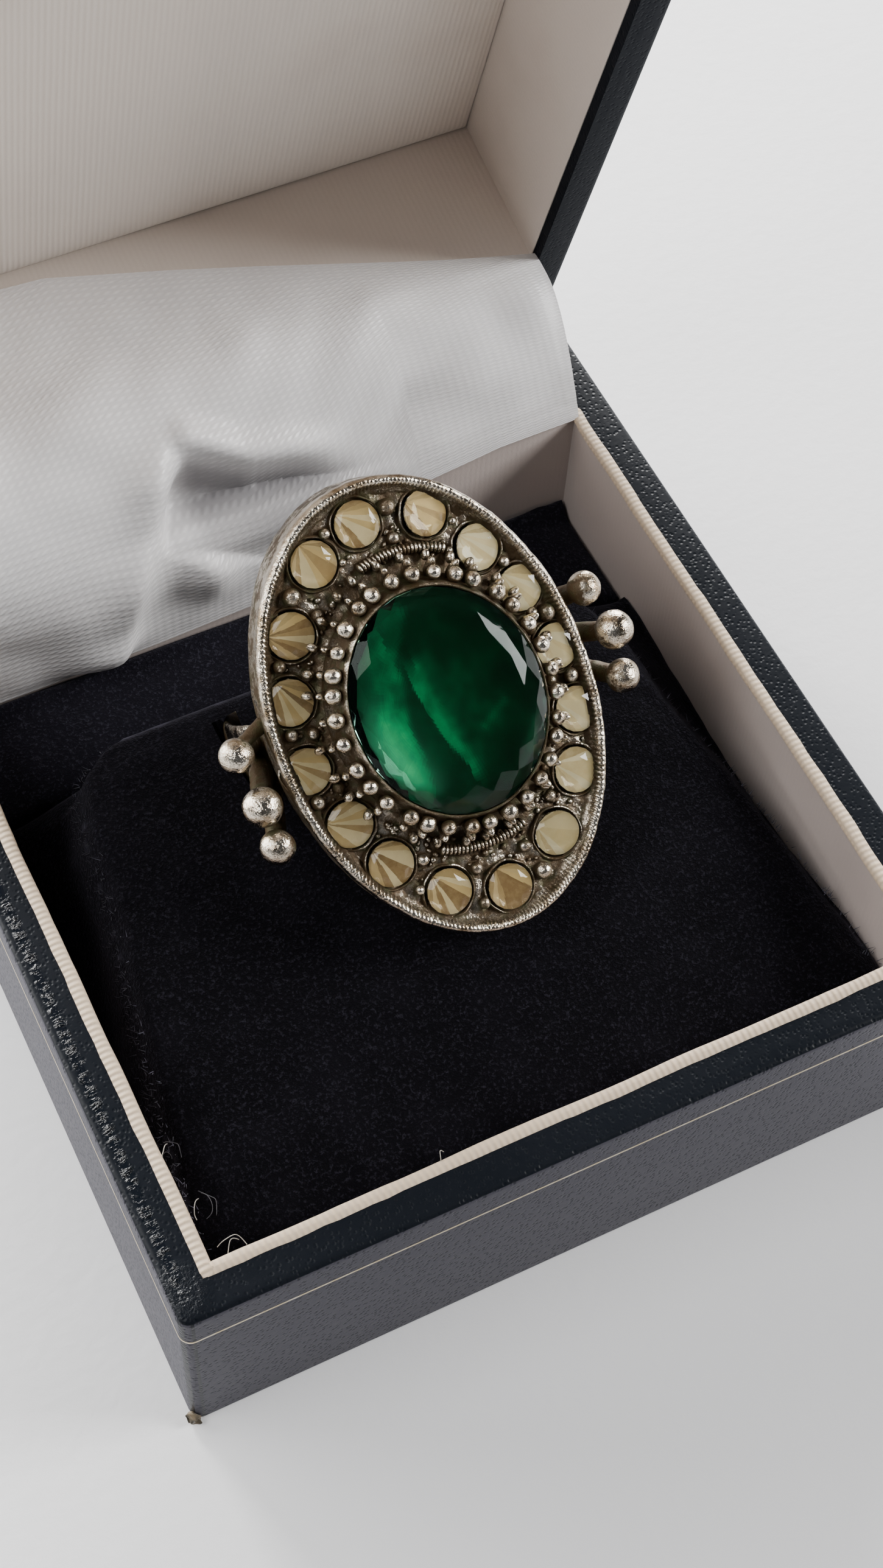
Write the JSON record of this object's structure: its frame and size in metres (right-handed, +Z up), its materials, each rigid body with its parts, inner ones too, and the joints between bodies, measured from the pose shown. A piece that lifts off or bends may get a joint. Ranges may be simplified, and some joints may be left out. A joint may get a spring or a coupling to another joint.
{
  "type": "adjustable cocktail ring in an open hinged ring box",
  "caption": "Oval cast cocktail ring with a green centre stone and a row of pale stones, standing in the velvet of an open ring box.",
  "frame": {"origin": "middle of the box's underside", "axes": "+X to the right along the hinge, +Y towards the hinge, +Z up; the lid is open at 74 degrees as in the picture"},
  "size_m": [0.054, 0.0731, 0.0774],
  "materials": {
    "cast_metal": "worn antique silver tone with brown tarnish in the recesses",
    "green_glass": "faceted, foil backed, slightly scratched",
    "pale_glass": "faceted, aged foil backs",
    "leatherette": "fine grained navy leatherette, satin sheen",
    "lining_card": "cream ribbed cloth on card",
    "ribbed_cloth": "cream ribbed cloth",
    "velvet": "short navy pile",
    "satin": "white satin, fine twill, soft sheen"
  },
  "bodies": {
    "base": {"base_shell": "leatherette", "base_lining": "lining_card", "front_pad": "velvet", "rear_pad": "velvet", "satin_apron": "satin", "ring_mount": "cast_metal", "centre_stone": "green_glass", "stone_01": "pale_glass", "stone_02": "pale_glass", "stone_03": "pale_glass", "stone_04": "pale_glass", "stone_05": "pale_glass", "stone_06": "pale_glass", "stone_07": "pale_glass", "stone_08": "pale_glass", "stone_09": "pale_glass", "stone_10": "pale_glass", "stone_11": "pale_glass", "stone_12": "pale_glass", "stone_13": "pale_glass", "stone_14": "pale_glass", "stone_15": "pale_glass", "stone_16": "pale_glass"},
    "lid": {"lid_shell": "leatherette", "lid_lining": "lining_card", "lid_panel": "ribbed_cloth"}
  },
  "joints": [
    {"name": "lid_hinge", "type": "hinge", "parent": "base", "child": "lid", "pos_m": [0, 0.02983, 0.01617], "axis": [-1, 0, 0], "range_deg": [-54, 16], "deforming": ["satin_apron"]}
  ]
}
